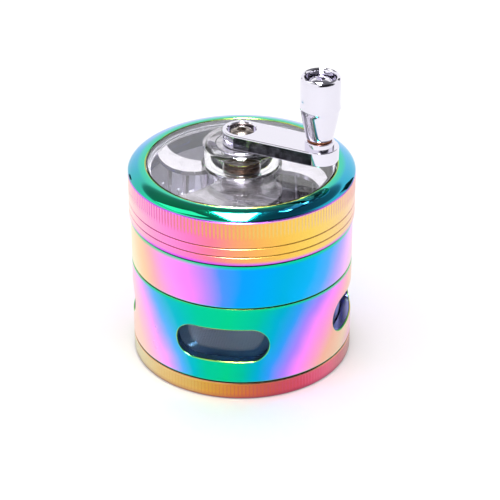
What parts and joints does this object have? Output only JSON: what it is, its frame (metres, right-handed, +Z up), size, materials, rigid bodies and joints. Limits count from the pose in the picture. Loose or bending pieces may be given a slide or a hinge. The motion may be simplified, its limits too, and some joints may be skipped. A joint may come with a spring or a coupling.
{
  "type": "hand crank herb grinder",
  "caption": "Round screw-together metal herb grinder with a shallow tray, a windowed collector, a toothed chamber and a clear-topped lid turned by a crank with a rotating knob.",
  "frame": {"origin": "on the axis of the round body, at the underside of the tray that it stands on", "axes": "+Z up along the body's axis; -Y through the middle of the front window; the crank rests turned 75 degrees anticlockwise from -Y as seen from above"},
  "size_m": [0.063, 0.063, 0.089],
  "materials": {
    "tray_metal": "gloss",
    "body_metal": "gloss",
    "lid_metal": "gloss",
    "chrome": "polished",
    "rotor_metal": "satin",
    "steel": "satin",
    "steel_mesh": "satin",
    "magnet": "satin",
    "bronze": "satin",
    "nylon": "satin",
    "seal_rubber": "matte",
    "clear_plastic": "gloss"
  },
  "bodies": {
    "base": {"base_tray": "tray_metal"},
    "lower_ring": {"lower_thread_ring": "nylon"},
    "collector": {"collector_body": "body_metal", "sieve_mesh": "steel_mesh", "sieve_clamp_ring": "steel", "window_liner": "clear_plastic"},
    "upper_ring": {"upper_thread_ring": "nylon"},
    "chamber": {"chamber_body": "body_metal", "chamber_magnet": "magnet"},
    "lid_seat": {"lid_friction_ring": "nylon"},
    "lid": {"lid_ring": "lid_metal", "window_seal": "seal_rubber", "lid_window": "clear_plastic", "drive_bush": "bronze", "thrust_washer": "steel", "hub_washer": "steel"},
    "crank": {"drive_shaft": "chrome", "rotor": "rotor_metal", "rotor_screw": "steel", "rotor_magnet": "magnet", "crank_arm": "chrome", "crank_screw": "chrome", "knob_screw": "chrome", "knob_washer": "bronze"},
    "knob": {"knob_grip": "chrome"}
  },
  "joints": [
    {"name": "collector_lift", "type": "slide", "parent": "base", "child": "lower_ring", "axis": [0, 0, 1], "range_m": [0, 0.00351]},
    {"name": "collector_unscrew", "type": "hinge", "parent": "lower_ring", "child": "collector", "pos_m": [0, 0, 0.0053], "axis": [0, 0, 1], "range_deg": [0, 630]},
    {"name": "chamber_lift", "type": "slide", "parent": "collector", "child": "upper_ring", "axis": [0, 0, 1], "range_m": [0, 0.00501]},
    {"name": "chamber_unscrew", "type": "hinge", "parent": "upper_ring", "child": "chamber", "pos_m": [0, 0, 0.0291], "axis": [0, 0, 1], "range_deg": [0, 900]},
    {"name": "lid_lift", "type": "slide", "parent": "chamber", "child": "lid_seat", "axis": [0, 0, 1], "range_m": [0, 0.03]},
    {"name": "lid_turn", "type": "hinge", "parent": "lid_seat", "child": "lid", "pos_m": [0, 0, 0.0462], "axis": [0, 0, 1], "continuous": true},
    {"name": "crank_spin", "type": "hinge", "parent": "lid", "child": "crank", "pos_m": [0, 0, 0.06], "axis": [0, 0, 1], "continuous": true},
    {"name": "knob_spin", "type": "hinge", "parent": "crank", "child": "knob", "pos_m": [0.02251, -0.00603, 0.08], "axis": [0, 0, 1], "continuous": true}
  ],
  "couplings": [
    {"joint": "collector_lift", "follows": "collector_unscrew", "m_per_rad": 0.00031831},
    {"joint": "chamber_lift", "follows": "chamber_unscrew", "m_per_rad": 0.00031831}
  ]
}
